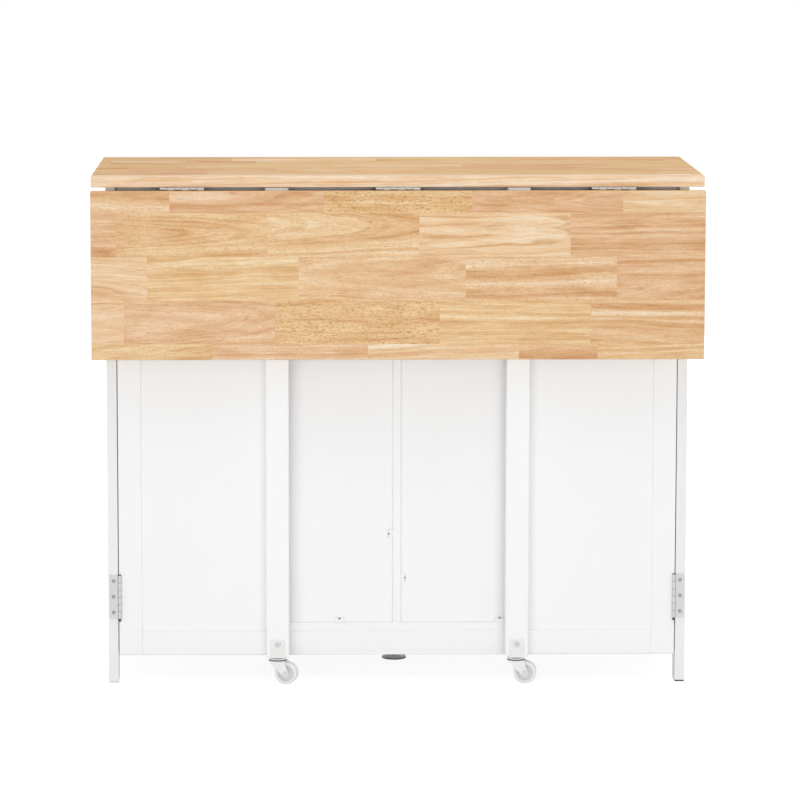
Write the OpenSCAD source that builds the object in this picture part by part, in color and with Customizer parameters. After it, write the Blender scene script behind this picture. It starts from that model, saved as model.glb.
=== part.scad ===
// Drop leaf kitchen island: a wooden worktop on a painted cabinet, with a hinged leaf at the back and
// two hinged gates on casters that carry the leaf when it is raised.
// Millimetres. +Z is up and the floor is z = 0. The leaf and the gates are at -Y, the doors and
// drawers at +Y. X and Y are zero at the middle of the whole piece of furniture.

/* [Worktop and leaf] */
// Length of the worktop and of the leaf
top_l = 1100; // [1000:10:1300]
// Depth of the fixed worktop
top_d = 450; // [420:5:560]
// Thickness of the worktop and of the leaf
top_t = 20; // [18:1:30]
// Height of the worktop's upper face over the floor
height = 930; // [880:5:980]
// Length of the leaf from its hinged edge to its free edge
leaf_h = 303; // [250:1:360]
// Gap between the worktop and the raised leaf
leaf_gap = 5; // [3:0.5:8]
// Bevel along the edges of the worktop and the leaf
top_ease = 1.2; // [0.5:0.1:2.5]

/* [Cabinet frame] */
// How far the worktop stands out past the legs at each end
side_overhang = 24; // [10:1:40]
// How far the worktop stands out past the rear legs
rear_overhang = 27; // [27:1:40]
// How far the worktop stands out past the front legs
front_overhang = 27; // [27:1:50]
// Width of a leg, left to right
leg_w = 18; // [15:1:30]
// Depth of a leg, front to back
leg_d = 40; // [38:1:60]
// Height of the cabinet's underside over the floor
base_z = 47; // [35:1:80]
// Height of the bottom rails
bottom_rail_h = 45; // [30:1:70]
// Height of the upper side rails and of the rear top rail
upper_rail_h = 60; // [40:1:90]
// Thickness of the boards: bottom, partition, shelves and rear rails
board_t = 15; // [12:1:20]
// Thickness of the side panels
side_t = 12; // [9:1:15]
// Thickness of the two back panels
back_t = 3; // [2.5:0.5:6]
// How far the back panels lie inside the rear edges of the boards
back_set = 6; // [4:0.5:10]
// Thickness of the front rails above and below the drawers
face_rail_t = 18; // [15:1:25]
// Depth of the front rails, front to back
face_rail_d = 40; // [30:1:60]
// Bevel along the edges of painted boards
ease = 0.8; // [0.3:0.1:1.5]

/* [Gates] */
// Width of a gate, from its hinged edge to the inner face of its post
gate_w = 310; // [260:1:400]
// Thickness of a gate's frame
gate_t = 18; // [15:1:19]
// Width of the stile that carries the gate's hinges
stile_w = 42; // [30:1:60]
// Width and depth of the gate's post
post_w = 42; // [38:1:45]
// How far the post stands out behind the gate's frame
post_proud = 25; // [10:0.5:25]
// Height of a gate's lower edge over the floor
gate_z = 52; // [52:1:70]
// Height of a gate's bottom rail
gate_rail_h = 44; // [30:1:80]
// Height of a gate's top rail
gate_top_rail_h = 60; // [40:1:90]
// How far the gate's frame stays below the worktop, to pass under the leaf's hinges
gate_drop = 9; // [8:0.5:15]
// How far the top of a post stays below the raised leaf
post_clear = 1; // [0.5:0.5:3]
// Thickness of a gate's panel
gate_panel_t = 6; // [4:0.5:8]
// How far a gate's panel lies inside its frame
gate_panel_set = 5; // [3:0.5:8]
// Height of the lower gate hinge's middle over the floor
gate_hinge_low = 160; // [140:1:300]
// Distance from the worktop's underside to the upper gate hinge's middle
gate_hinge_high = 110; // [90:1:200]

/* [Butt hinges] */
// Length of a hinge's barrel
hinge_l = 80; // [60:1:100]
// Width of a hinge's plate from the pin's axis
hinge_w = 19; // [16:0.5:22]
// Thickness of a hinge's plate
hinge_t = 1.2; // [1:0.1:1.5]
// Radius of a hinge's barrel
hinge_r = 3; // [2.8:0.1:3.5]
// Radius of a hinge's pin
pin_r = 1.7; // [1.2:0.1:1.7]
// Number of knuckles on both plates together, an even number
knuckles = 6; // [4:2:8]
// Gap between two knuckles
knuckle_gap = 0.6; // [0.2:0.1:1]
// How far a hinge pin stands out below the last knuckle, to the middle of its ball tip
pin_tail = 3.6; // [2:0.1:6]
// Radius of that ball tip
pin_ball_r = 2.2; // [1.5:0.1:3]
// Distance between the screws of a hinge's plate
screw_pitch = 29; // [20:1:35]
// Distance of the outer leaf hinges from the middle of the worktop
leaf_hinge_x = 387; // [300:1:440]

/* [Screws] */
// Radius of a hinge screw's head
screw_head_r = 3.4; // [3:0.1:4]
// Radius of a hinge screw's shank
screw_r = 1.7; // [1.2:0.1:2]
// Length of a hinge screw
screw_l = 13; // [10:0.5:14]

/* [Casters] */
// Radius of a caster's wheel
wheel_r = 20.5; // [18:0.5:21]
// Width of a caster's wheel
wheel_w = 17; // [14:0.5:20]
// How far the axle trails behind the swivel's axis
trail = 16.5; // [12:0.5:18]
// Thickness of the fork's two cheeks
fork_t = 2; // [1.5:0.1:2.5]
// Radius of the swivel's race
race_r = 15; // [12:0.5:16]
// Thickness of the swivel's race
race_h = 6.2; // [2.5:0.1:6.5]
// Thickness of the fork's crown
crown_t = 1.6; // [1.2:0.1:3]
// How far the crown stands out past the race
crown_lip = 2; // [1:0.5:4]
// Radius of a cheek's end around the axle
fork_end_r = 6.5; // [5:0.5:8]
// Height of the bracket that holds the caster on the post
bracket_h = 33; // [25:1:45]
// Width of that bracket
bracket_w = 28; // [24:1:36]
// Thickness of the bracket's sheet
bracket_t = 1.5; // [1:0.1:2]
// Radius of the axle
axle_r = 2.5; // [2:0.1:3]
// Radius of the axle's heads
axle_head_r = 4.2; // [3.5:0.1:5.5]
// Angle at which the left caster is parked, from straight along the gate
left_park = -15; // [-30:1:30]
// Angle at which the right caster is parked
right_park = -8; // [-30:1:30]

/* [Doors and drawers] */
// Thickness of doors and drawer fronts
front_t = 18; // [15:1:20]
// Gap round a door or a drawer front
front_gap = 3; // [2:0.5:4]
// Height of the opening for a drawer
drawer_opening_h = 122; // [100:1:160]
// Width of a door's stiles and rails
door_frame_w = 55; // [40:1:80]
// How far a door's panel lies inside its frame
door_panel_set = 6; // [4:0.5:9]
// Height of a drawer's sides
drawer_side_h = 84; // [60:1:90]
// Thickness of a drawer's sides and back
drawer_side_t = 12; // [10:1:15]
// Thickness of a drawer's bottom
drawer_bottom_t = 4; // [3:0.5:6]
// Room between a closed drawer and the rear top rail
drawer_back_gap = 22; // [5:1:60]
// Height of a runner
runner_h = 12; // [8:0.5:16]
// Gap beside a drawer in which the runner lies
runner_gap = 12; // [8:1:16]
// How far a runner stands into the groove of the drawer's side
runner_lap = 5; // [3:0.5:7]
// Radius of a knob's head
knob_r = 15; // [10:0.5:18]
// How far a knob stands out
knob_l = 24; // [18:0.5:26]
// Distance from the worktop's underside to a door's upper hinge's middle, below the middle rail
door_hinge_in = 90; // [60:1:150]
// Distance of a door's knob below the door's top
door_knob_in = 90; // [50:1:300]

/* [Inside and feet] */
// Length of a door's catch under the middle rail
catch_l = 45; // [30:1:70]
// Depth of a catch, front to back
catch_d = 12; // [8:0.5:20]
// Height of a catch
catch_h = 14; // [8:0.5:25]
// Distance of a catch from the partition
catch_in = 30; // [10:1:60]
// Distance of the shelf pins from the ends of a shelf
shelf_pin_in = 45; // [20:1:80]
// Height of the shelves over the bottom board
shelf_z = 320; // [200:1:420]
// Gap between a shelf and the walls around it
shelf_gap = 1; // [0.5:0.5:3]
// How far a shelf stays behind the doors
shelf_set = 25; // [10:1:60]
// Radius of a shelf pin
shelf_pin_r = 2.5; // [2:0.5:4]
// Radius of the base of the foot under the middle of the cabinet
foot_r = 22.5; // [18:0.5:30]
// Radius of the foot's post
foot_post_r = 9; // [6:0.5:15]
// Thickness of the foot's base
foot_base_h = 3; // [2:0.5:6]
// Height of the collar on that base
foot_collar_h = 4; // [2:0.5:8]
// Height of the cup that joins the foot to the bottom board
foot_cup_h = 8; // [4:0.5:20]
// Distance of that foot behind the cabinet's front, as a place from the rear faces of the legs
foot_in = 218; // [150:1:260]
// Thickness of the pads under the legs
pad_t = 2.5; // [1.5:0.5:5]
// Length of a clip that holds a back panel
clip_l = 16; // [12:1:24]
// Width of such a clip
clip_w = 10; // [8:0.5:12]
// Height of the left clip on the partition over the bottom board
clip_left_z = 164; // [100:1:600]
// Height of the right clip on the partition over the bottom board
clip_right_z = 83; // [50:1:600]
// Distance from the post of the left gate to the clip on the bottom board
clip_left_in = 92; // [30:1:150]
// Distance from the post of the right gate to the clip on the bottom board
clip_right_in = 8; // [5.5:0.5:150]

/* [Hidden] */

LEFT = -1;
RIGHT = 1;
fit = 0.1;         // clearance of a screw, a tongue or a strip in its hole or groove
running_fit = 0.05; // radial clearance of a pin or an axle
seam = 0.1;        // glue line between two boards that butt
cut = 1;           // how far a cutting tool passes its face
$fn = 48;

white = "whitesmoke";
steel = "silver";
wood = "burlywood";
plastic = "dimgray";

// heights
under_z = height - top_t;
leaf_axis_z = under_z - hinge_r;
leaf_top_z = leaf_axis_z - leaf_gap / 2;
board_z = base_z + bottom_rail_h;
floor_z = board_z + board_t;
upper_rail_z = under_z - upper_rail_h;
drawer_top_z = under_z - face_rail_t;
drawer_z = drawer_top_z - drawer_opening_h;
door_top_z = drawer_z - face_rail_t;
gate_top_z = under_z - gate_drop;
gate_hinge_z = [gate_hinge_low, under_z - gate_hinge_high];

// places front to back
leaf_inner_y_off = leaf_gap / 2 + hinge_r;
all_d = top_d + leaf_inner_y_off + top_t;
rear_y = leaf_inner_y_off + top_t - all_d / 2;
front_y = rear_y + top_d;
leaf_axis_y = rear_y - leaf_gap / 2;
leaf_inner_y = rear_y - leaf_inner_y_off;
back_y = rear_y + rear_overhang;
face_y = front_y - front_overhang;
inner_back_y = back_y + gate_t + 3;
panel_y = inner_back_y + back_set;

// places left to right, for the right half
out_x = top_l / 2 - side_overhang;
in_x = out_x - leg_w;
gate_plate_gap = 0.3;
gate_edge_x = in_x - gate_plate_gap - hinge_t;
gate_axis_x = gate_edge_x - (hinge_r - hinge_t);
gate_axis_y = back_y - hinge_r;
gate_in_x = gate_edge_x - gate_w;
post_y = back_y - post_proud;
swivel_x = gate_in_x + post_w / 2;
swivel_y = post_y + post_w / 2;
part_x = board_t / 2;
tongue = 5;

// back clip
clip_rise = back_set + 1;
clip_lip = 2;
clip_slope = clip_rise - clip_lip;
clip_screw_r = 1.9;
clip_screw_l = 4.5;
clip_screw_set = 0.4;

// swivel caster, downwards from the post
bracket_z = gate_z - bracket_t;
race_gap = 0.9;
race_groove_h = 1;
race_groove_d = 2.5;
crown_z = bracket_z - race_h - race_gap - 0.3;
fork_y = wheel_w / 2 + 1;
knuckle_l = hinge_l / knuckles;

// doors and drawers
door_axis_x = in_x - front_gap / 2;
door_axis_y = face_y + hinge_r + 0.2;
door_z = [floor_z + front_gap, door_top_z - front_gap];
door_x = [part_x + front_gap, in_x - front_gap];
door_hinge_z = [door_z[0] + door_hinge_in, door_z[1] - door_hinge_in];
drawer_x = [part_x + runner_gap, in_x - runner_gap];
drawer_box_z = drawer_z + 12;
drawer_back_y = inner_back_y + board_t + drawer_back_gap;
groove_z = drawer_box_z + drawer_side_h / 2;
runner_y = [panel_y + back_t + 1, face_y - front_t - 1];
shelf_y = [panel_y + back_t + shelf_gap, face_y - front_t - shelf_set];

// ---------- shapes that repeat ----------

// A pair of coordinates: a length that starts at a place, and a width about a middle.
function from(start, length) = [start, start + length];
function around(middle, width) = [middle - width / 2, middle + width / 2];

// Draws its children on the right half, or mirrored on the left half.
module on_side(side) mirror([side < 0 ? 1 : 0, 0, 0]) children();

// A rectangle with bevelled corners, from (0, 0).
module bevelled_rectangle(w, h, e)
    polygon([[e, 0], [w - e, 0], [w, e], [w, h - e], [w - e, h], [e, h], [0, h - e], [0, e]]);

// A board between three pairs of coordinates, with all its edges bevelled.
module board(x, y, z, e = ease) {
    w = x[1] - x[0];
    d = y[1] - y[0];
    h = z[1] - z[0];
    translate([x[0], y[0], z[0]]) intersection() {
        linear_extrude(h) bevelled_rectangle(w, d, e);
        translate([0, d, 0]) rotate([90, 0, 0]) linear_extrude(d) bevelled_rectangle(w, h, e);
        rotate([90, 0, 90]) linear_extrude(w) bevelled_rectangle(d, h, e);
    }
}

// A plain block between three pairs of coordinates, grown on every side.
module block(x, y, z, grow = 0)
    translate([x[0] - grow, y[0] - grow, z[0] - grow])
        cube([x[1] - x[0] + 2 * grow, y[1] - y[0] + 2 * grow, z[1] - z[0] + 2 * grow]);

// A countersunk screw pointing down from its head's face at z = 0. grow makes it its own hole.
module wood_screw(grow = 0) {
    head_h = screw_head_r - screw_r;
    translate([0, 0, -head_h]) cylinder(r1 = screw_r + grow, r2 = screw_head_r + grow, h = head_h);
    translate([0, 0, -screw_l - grow]) cylinder(r = screw_r + grow, h = screw_l + grow);
    if (grow > 0) cylinder(r = screw_head_r + grow, h = cut);
}

// One plate of a butt hinge. The pin is the Z axis, the plate runs to +X and its back, which lies
// on the wood, faces +Y. The other plate of a hinge is the same piece turned end for end.
module hinge_plate(heads_behind = false) {
    notch = hinge_r + 0.4;
    corner = 2.5;
    difference() {
        union() {
            translate([0, hinge_r, 0]) rotate([90, 0, 0]) linear_extrude(hinge_t)
                translate([notch, -hinge_l / 2]) union() {
                    square([hinge_w - notch - corner, hinge_l]);
                    translate([0, corner]) square([hinge_w - notch, hinge_l - 2 * corner]);
                    for (y = [corner, hinge_l - corner])
                        translate([hinge_w - notch - corner, y]) circle(corner);
                }
            for (k = [0 : 2 : knuckles - 1]) translate([0, 0, knuckle_l * k - hinge_l / 2]) {
                translate([0, hinge_r - hinge_t, knuckle_gap / 2])
                    cube([notch + 0.1, hinge_t, knuckle_l - knuckle_gap]);
                translate([0, 0, knuckle_gap / 2]) cylinder(r = hinge_r, h = knuckle_l - knuckle_gap);
            }
        }
        cylinder(r = pin_r + running_fit, h = hinge_l + 2 * cut, center = true);
        at_screws(heads_behind) wood_screw(fit);
    }
}

// Places its children at the screws of a plate, each pointing into the wood.
// Where the plate is folded back, the heads are at its back.
module at_screws(heads_behind = false)
    for (z = [-1, 0, 1] * screw_pitch)
        translate([(hinge_w + hinge_r) / 2 + 0.5, heads_behind ? hinge_r : hinge_r - hinge_t, z])
            rotate([heads_behind ? -90 : 90, 0, 0]) children();

// A hinge pin with a flat head on top and a ball tip below.
module hinge_pin() {
    translate([0, 0, -hinge_l / 2 - pin_tail]) cylinder(r = pin_r, h = hinge_l + pin_tail + 0.2);
    translate([0, 0, hinge_l / 2 + 0.2]) cylinder(r = pin_r + 0.6, h = 0.8);
    translate([0, 0, -hinge_l / 2 - pin_tail]) sphere(r = pin_ball_r);
}

// The seats of the three kinds of hinge. Each puts the pin's axis in place and turns the plate.
module at_leaf_hinges()
    for (x = [-1, 0, 1] * leaf_hinge_x) translate([x, leaf_axis_y, leaf_axis_z]) children();
module at_gate_hinges(side)
    on_side(side) for (z = gate_hinge_z) translate([gate_axis_x, gate_axis_y, z]) children();
module at_door_hinges(side)
    on_side(side) for (z = door_hinge_z) translate([door_axis_x, door_axis_y, z]) children();
module under_worktop() rotate([90, 0, 90]) children();
module on_hanging_leaf() rotate([0, -90, 0]) rotate([0, 0, 180]) children();
module on_gate_edge() rotate([180, 0, 90]) children();
module on_door_jamb() rotate([0, 0, -90]) children();
module on_door_edge() rotate([180, 0, -90]) children();

// ---------- worktop and leaf ----------

module worktop() color(wood) difference() {
    board([-top_l / 2, top_l / 2], [rear_y, front_y], [under_z, height], top_ease);
    at_leaf_hinges() under_worktop() at_screws() wood_screw(fit);
}

module drop_leaf() color(wood) difference() {
    board([-top_l / 2, top_l / 2], [leaf_inner_y - top_t, leaf_inner_y],
        [leaf_top_z - leaf_h, leaf_top_z], top_ease);
    at_leaf_hinges() on_hanging_leaf() at_screws() wood_screw(fit);
}

module leaf_hinge_plates() color(steel) at_leaf_hinges() on_hanging_leaf() hinge_plate();
module leaf_screws() color(steel) at_leaf_hinges() on_hanging_leaf() at_screws() wood_screw();

// ---------- cabinet ----------

module rear_leg(side) color(white) on_side(side) difference() {
    board([in_x, out_x], [back_y, back_y + leg_d], [pad_t, under_z]);
    block([in_x - cut, in_x + tongue + 0.5], [panel_y - fit, panel_y + back_t + fit],
        [floor_z - 0.5, upper_rail_z + tongue + 0.5]);
    on_side(side) at_gate_hinges(side) at_screws() wood_screw(fit);
}

module front_leg(side) color(white) on_side(side) difference() {
    board([in_x, out_x], [face_y - leg_d, face_y], [pad_t, under_z]);
    on_side(side) at_door_hinges(side) {
        door_mortise();
        on_door_jamb() at_screws() wood_screw(fit);
    }
}

// The shallow seat of a door hinge's plate, cut into the jamb.
module door_mortise()
    block([0, hinge_r], [-hinge_w - 0.2, cut + hinge_r], [-hinge_l / 2 - 0.2, hinge_l / 2 + 0.2]);

module side_panel(side) color(white) on_side(side)
    board([in_x, in_x + side_t], [back_y + leg_d + seam, face_y - leg_d - seam],
        [board_z + seam, upper_rail_z - seam]);

module side_rails() color(white) for (side = [LEFT, RIGHT]) on_side(side) {
    y = [back_y + leg_d + seam, face_y - leg_d - seam];
    board([in_x, out_x], y, [base_z, board_z]);
    board([in_x, out_x], y, [upper_rail_z, under_z]);
}

module bottom_board() color(white)
    board([seam - in_x, in_x - seam], [inner_back_y, face_y], [board_z, floor_z]);

module centre_partition() color(white) difference() {
    board([-part_x, part_x], [inner_back_y, face_y], [floor_z, under_z]);
    block([-part_x, part_x], [inner_back_y, inner_back_y + board_t], [upper_rail_z, under_z + cut], seam);
    block([-part_x, part_x], [face_y - face_rail_d, face_y + cut], [drawer_top_z, under_z + cut], seam);
}

module back_panel(side) color(white) on_side(side)
    block([part_x + seam, in_x + tongue], [panel_y, panel_y + back_t],
        [floor_z + seam, upper_rail_z + tongue]);

module rear_top_rail() color(white) difference() {
    board([seam - in_x, in_x - seam], [inner_back_y, inner_back_y + board_t], [upper_rail_z, under_z]);
    block([-in_x, in_x], [panel_y - fit, panel_y + back_t + fit],
        [upper_rail_z - cut, upper_rail_z + tongue + 0.5], 0);
}

module rear_bottom_rail() color(white)
    board([seam - in_x, in_x - seam], [inner_back_y, inner_back_y + board_t], [base_z, board_z]);

module front_rails() color(white) {
    y = [face_y - face_rail_d, face_y];
    board([seam - in_x, in_x - seam], y, [drawer_top_z, under_z]);
    board([seam - in_x, in_x - seam], [face_y - board_t, face_y], [base_z, board_z]);
    for (side = [LEFT, RIGHT]) on_side(side)
        board([part_x + seam, in_x - seam], y, [door_top_z, drawer_z]);
}

// A back clip is a wedge in the corner between a panel and a board. Its corner is the Z axis, the
// panel lies at +Y and the board at -X.
module back_clip() difference() {
    translate([0, 0, -clip_l / 2]) linear_extrude(clip_l)
        polygon([
            [0, 0], [clip_w, 0], [clip_w, -clip_lip], [clip_w - clip_slope, -clip_rise], [0, -clip_rise]
        ]);
    at_clip_screw() clip_screw(fit);
}
module at_clip_screw()
    translate([clip_w - clip_slope / 2, -clip_lip - clip_slope / 2, 0]) rotate([0, 90, -45]) children();

// A clip's screw, which ends inside the clip and lies a little below its face, or its hole when it is grown.
module clip_screw(grow = 0) translate([0, 0, -clip_screw_l - grow])
    cylinder(r = clip_screw_r + grow, h = clip_screw_l + (grow > 0 ? clip_rise : -clip_screw_set));

module at_back_clips() {
    translate([-part_x, panel_y, floor_z + clip_left_z]) mirror([1, 0, 0]) children();
    translate([part_x, panel_y, floor_z + clip_right_z]) children();
    for (x = [clip_left_in - gate_in_x, gate_in_x - clip_right_in])
        translate([x, panel_y, floor_z]) rotate([0, -90, 0]) children();
}

module back_clips() color(white) at_back_clips() back_clip();

module shelves() color(white) for (side = [LEFT, RIGHT]) on_side(side)
    board([part_x + shelf_gap, in_x - shelf_gap],
        shelf_y, from(floor_z + shelf_z, board_t));

module shelf_pins() color(steel) for (side = [LEFT, RIGHT]) on_side(side)
    for (y = shelf_y + [shelf_pin_in, -shelf_pin_in]) for (x = [part_x, in_x])
        translate([x, y, floor_z + shelf_z - shelf_pin_r]) rotate([0, x == part_x ? 90 : -90, 0])
            cylinder(r = shelf_pin_r, h = 8);

module centre_foot() color(plastic) translate([0, back_y + foot_in, 0]) {
    rim = 6;
    difference() {
        union() {
            cylinder(r = foot_r, h = foot_base_h - 0.8);
            translate([0, 0, foot_base_h - 0.8]) cylinder(r1 = foot_r, r2 = foot_r - 0.8, h = 0.8);
            translate([0, 0, foot_base_h])
                cylinder(r1 = (foot_r + foot_post_r) / 2, r2 = foot_post_r, h = foot_collar_h);
            cylinder(r = foot_post_r, h = board_z);
            translate([0, 0, board_z - foot_cup_h])
                cylinder(r1 = foot_post_r, r2 = foot_r - rim, h = foot_cup_h - 2);
            translate([0, 0, board_z - 2]) cylinder(r = foot_r - rim, h = 2);
        }
        translate([0, 0, -cut]) cylinder(r = foot_r - rim, h = cut + 1);
    }
}

module leg_pads() color(plastic) for (side = [LEFT, RIGHT]) on_side(side)
    for (y = [back_y, face_y - leg_d])
        board([in_x, out_x] + [0.5, -0.5], [y + 0.5, y + leg_d - 0.5], [0, pad_t], 0.4);

module drawer_runners() color(steel) for (side = [LEFT, RIGHT]) on_side(side) {
    z = around(groove_z, runner_h);
    board([part_x, drawer_x[0] + runner_lap], runner_y, z, 0.5);
    board([drawer_x[1] - runner_lap, in_x], runner_y, z, 0.5);
}

module door_catches() color(white) for (side = [LEFT, RIGHT]) on_side(side)
    board(from(part_x + catch_in, catch_l), from(face_y - front_t - 0.5 - catch_d, catch_d),
        from(door_top_z - catch_h, catch_h), 0.6);

module fixed_hinge_plates() color(steel) {
    at_leaf_hinges() under_worktop() hinge_plate();
    for (side = [LEFT, RIGHT]) {
        at_gate_hinges(side) hinge_plate();
        at_door_hinges(side) on_door_jamb() hinge_plate();
    }
}

module hinge_pins() color(steel) {
    at_leaf_hinges() rotate([0, 90, 0]) hinge_pin();
    for (side = [LEFT, RIGHT]) {
        at_gate_hinges(side) hinge_pin();
        at_door_hinges(side) hinge_pin();
    }
}

module cabinet_screws() color(steel) {
    at_leaf_hinges() under_worktop() at_screws() wood_screw();
    for (side = [LEFT, RIGHT]) {
        at_gate_hinges(side) at_screws() wood_screw();
        at_door_hinges(side) on_door_jamb() at_screws() wood_screw();
    }
    at_back_clips() at_clip_screw() clip_screw();
}

// ---------- gates ----------

gate_panel_x = [gate_in_x + post_w - tongue, gate_edge_x - stile_w + tongue];
gate_panel_y = from(back_y + gate_panel_set, gate_panel_t);
gate_panel_z = [gate_z + gate_rail_h - tongue, gate_top_z - gate_top_rail_h + tongue];

// The groove round a gate's panel.
module gate_groove()
    block(gate_panel_x + [-0.5, 0.5], gate_panel_y + [-fit, fit], gate_panel_z + [-0.5, 0.5]);

module gate_stile(side) color(white) on_side(side) difference() {
    board([gate_edge_x - stile_w, gate_edge_x], [back_y, back_y + gate_t], [gate_z, gate_top_z]);
    gate_groove();
    on_side(side) at_gate_hinges(side) on_gate_edge() at_screws(true) wood_screw(fit);
}

module gate_rails(side) color(white) on_side(side) difference() {
    x = [gate_in_x + post_w + seam, gate_edge_x - stile_w - seam];
    union() {
        board(x, [back_y, back_y + gate_t], [gate_z, gate_z + gate_rail_h]);
        board(x, [back_y, back_y + gate_t], [gate_top_z - gate_top_rail_h, gate_top_z]);
    }
    gate_groove();
}

module gate_panel(side) color(white) on_side(side) block(gate_panel_x, gate_panel_y, gate_panel_z);

module gate_post(side) color(white) on_side(side) difference() {
    board([gate_in_x, gate_in_x + post_w], [post_y, post_y + post_w], [gate_z, under_z - post_clear], 1.5);
    gate_groove();
    bracket_screws(fit);
}

module gate_hinge_plates(side) color(steel) at_gate_hinges(side) on_gate_edge() hinge_plate(true);

module gate_screws(side) color(steel) {
    at_gate_hinges(side) on_gate_edge() at_screws(true) wood_screw();
    on_side(side) bracket_screws();
}

// ---------- casters ----------

// An angle of sheet steel round the post's foot, with the fixed race and the king pin under it.
module caster_bracket(side) color(white) on_side(side) difference() {
    x = around(swivel_x, bracket_w);
    union() {
        block(x, [post_y - bracket_t, post_y + post_w], [bracket_z, gate_z]);
        bracket_cheek(x);
        translate([swivel_x, swivel_y, bracket_z - race_h]) cylinder(r = race_r, h = race_h - race_groove_h);
        translate([swivel_x, swivel_y, crown_z + 0.3])
            cylinder(r = race_r - race_groove_d, h = race_h + race_gap);
        translate([swivel_x, swivel_y, crown_z - crown_t - 0.3])
            cylinder(r = king_r, h = race_h + crown_t + 1);
        translate([swivel_x, swivel_y, crown_z - crown_t - 0.3 - king_head_h])
            cylinder(r = king_r + 2.5, h = king_head_h);
    }
    bracket_screws(fit);
}
king_r = 3.5;
king_head_h = 2;

// The upright part of the angle, on the post's rear face.
module bracket_cheek(x) {
    corner = 4;
    w = x[1] - x[0];
    h = bracket_h + bracket_t;
    translate([x[0], post_y, bracket_z]) rotate([90, 0, 0])
        linear_extrude(bracket_t) union() {
            square([w, h - corner]);
            translate([corner, 0]) square([w - 2 * corner, h]);
            for (cx = [corner, w - corner]) translate([cx, h - corner]) circle(corner);
        }
}

// The seats of the bracket's screws: one in the upright part and two in the flat part.
cheek_screw_in = 9;
flange_screw_x = 9.5;
flange_screw_y = 17;
module at_cheek_screw()
    translate([swivel_x, post_y - bracket_t, gate_z + bracket_h - cheek_screw_in])
        rotate([90, 0, 0]) children();
module at_flange_screws()
    for (x = [-1, 1] * flange_screw_x)
        translate([swivel_x + x, swivel_y + flange_screw_y, bracket_z]) rotate([180, 0, 0]) children();

// The bracket's screws, or their holes when they are grown.
module bracket_screws(grow = 0) {
    at_cheek_screw() round_head_screw(grow);
    at_flange_screws() wood_screw(grow);
}

// A screw with a low round head, pointing down from under its head at z = 0. Its head is a cap of a ball.
cheek_screw_l = 16;
cheek_screw_r = 2;
cheek_head_r = 6;
cheek_head_h = 2;
module round_head_screw(grow = 0) {
    ball_r = (cheek_head_r ^ 2 + cheek_head_h ^ 2) / (2 * cheek_head_h);
    translate([0, 0, -cheek_screw_l - grow])
        cylinder(r = cheek_screw_r + grow, h = cheek_screw_l + grow + cheek_head_h / 4);
    if (grow == 0) intersection() {
        cylinder(r = cheek_head_r + 1, h = cheek_head_h + 1);
        translate([0, 0, cheek_head_h - ball_r]) sphere(r = ball_r);
    }
}

// Puts its children on a caster that swivels about Z and trails to +X, parked at its angle.
module at_caster(side)
    translate([side * swivel_x, swivel_y, 0]) rotate([0, 0, side < 0 ? left_park : right_park]) children();

module caster_fork(side) color(white) at_caster(side) difference() {
    low_z = crown_z - crown_t;
    r = race_r + crown_lip;
    union() {
        translate([0, 0, low_z]) cylinder(r = r, h = crown_t);
        translate([-race_r + 1, -fork_y - fork_t, low_z])
            cube([2 * race_r - 1, 2 * (fork_y + fork_t), crown_t]);
        translate([r - 2, -3, low_z]) cube([trail + 4.5 - r, 6, crown_t]);
        for (y = [-fork_y, fork_y + fork_t])
            translate([0, y, 0]) rotate([90, 0, 0]) linear_extrude(fork_t) cheek();
    }
    translate([0, 0, low_z - cut]) cylinder(r = king_r + running_fit, h = crown_t + 2 * cut);
    translate([trail, 0, wheel_r]) rotate([90, 0, 0])
        cylinder(r = axle_r + running_fit, h = 4 * fork_y, center = true);
}

// The outline of a fork's cheek, from the crown down to its round end at the axle.
module cheek() {
    neck_z = crown_z - 6;
    polygon([
        [1 - race_r, crown_z], [race_r, crown_z], [trail + fork_end_r, wheel_r + 1],
        [trail, wheel_r - fork_end_r], [trail - fork_end_r * 0.8, wheel_r - fork_end_r * 0.6],
        [4.5 - race_r, neck_z]
    ]);
    translate([trail, wheel_r]) circle(fork_end_r);
}

module caster_axle(side) color(steel) at_caster(side) translate([trail, 0, wheel_r]) rotate([90, 0, 0]) {
    reach = fork_y + fork_t + 0.1;
    cylinder(r = axle_r, h = 2 * reach, center = true);
    for (s = [-1, 1]) translate([0, 0, s * (reach + 0.8)]) cylinder(r = axle_head_r, h = 1.6, center = true);
}

module wheel(side) color("gainsboro") at_caster(side) translate([trail, 0, wheel_r]) rotate([90, 0, 0])
    rotate_extrude() difference() {
        half = wheel_w / 2;
        bore = axle_r + running_fit;
        union() {
            translate([bore, -half]) square([3.5, wheel_w]);
            translate([bore, -half + 3]) square([wheel_r - 4 - bore, wheel_w - 6]);
            translate([wheel_r - 6, -half + 0.5]) square([4, wheel_w - 1]);
            translate([wheel_r - 3, -half + 2.5]) square([3, wheel_w - 5]);
            for (y = [-half + 2.5, half - 2.5]) translate([wheel_r - 2.5, y]) circle(2.5);
        }
    }

// ---------- doors and drawers ----------

module door(side) color(white) on_side(side) difference() {
    board(door_x, [face_y - front_t, face_y], door_z, 1);
    block([door_x[0] + door_frame_w, door_x[1] - door_frame_w], [face_y - door_panel_set, face_y + cut],
        [door_z[0] + door_frame_w, door_z[1] - door_frame_w]);
    on_side(side) at_door_hinges(side) {
        mirror([1, 0, 0]) door_mortise();
        on_door_edge() at_screws() wood_screw(fit);
    }
}

module door_hinge_plates(side) color(steel) at_door_hinges(side) on_door_edge() {
    hinge_plate();
    at_screws() wood_screw();
}

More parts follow.
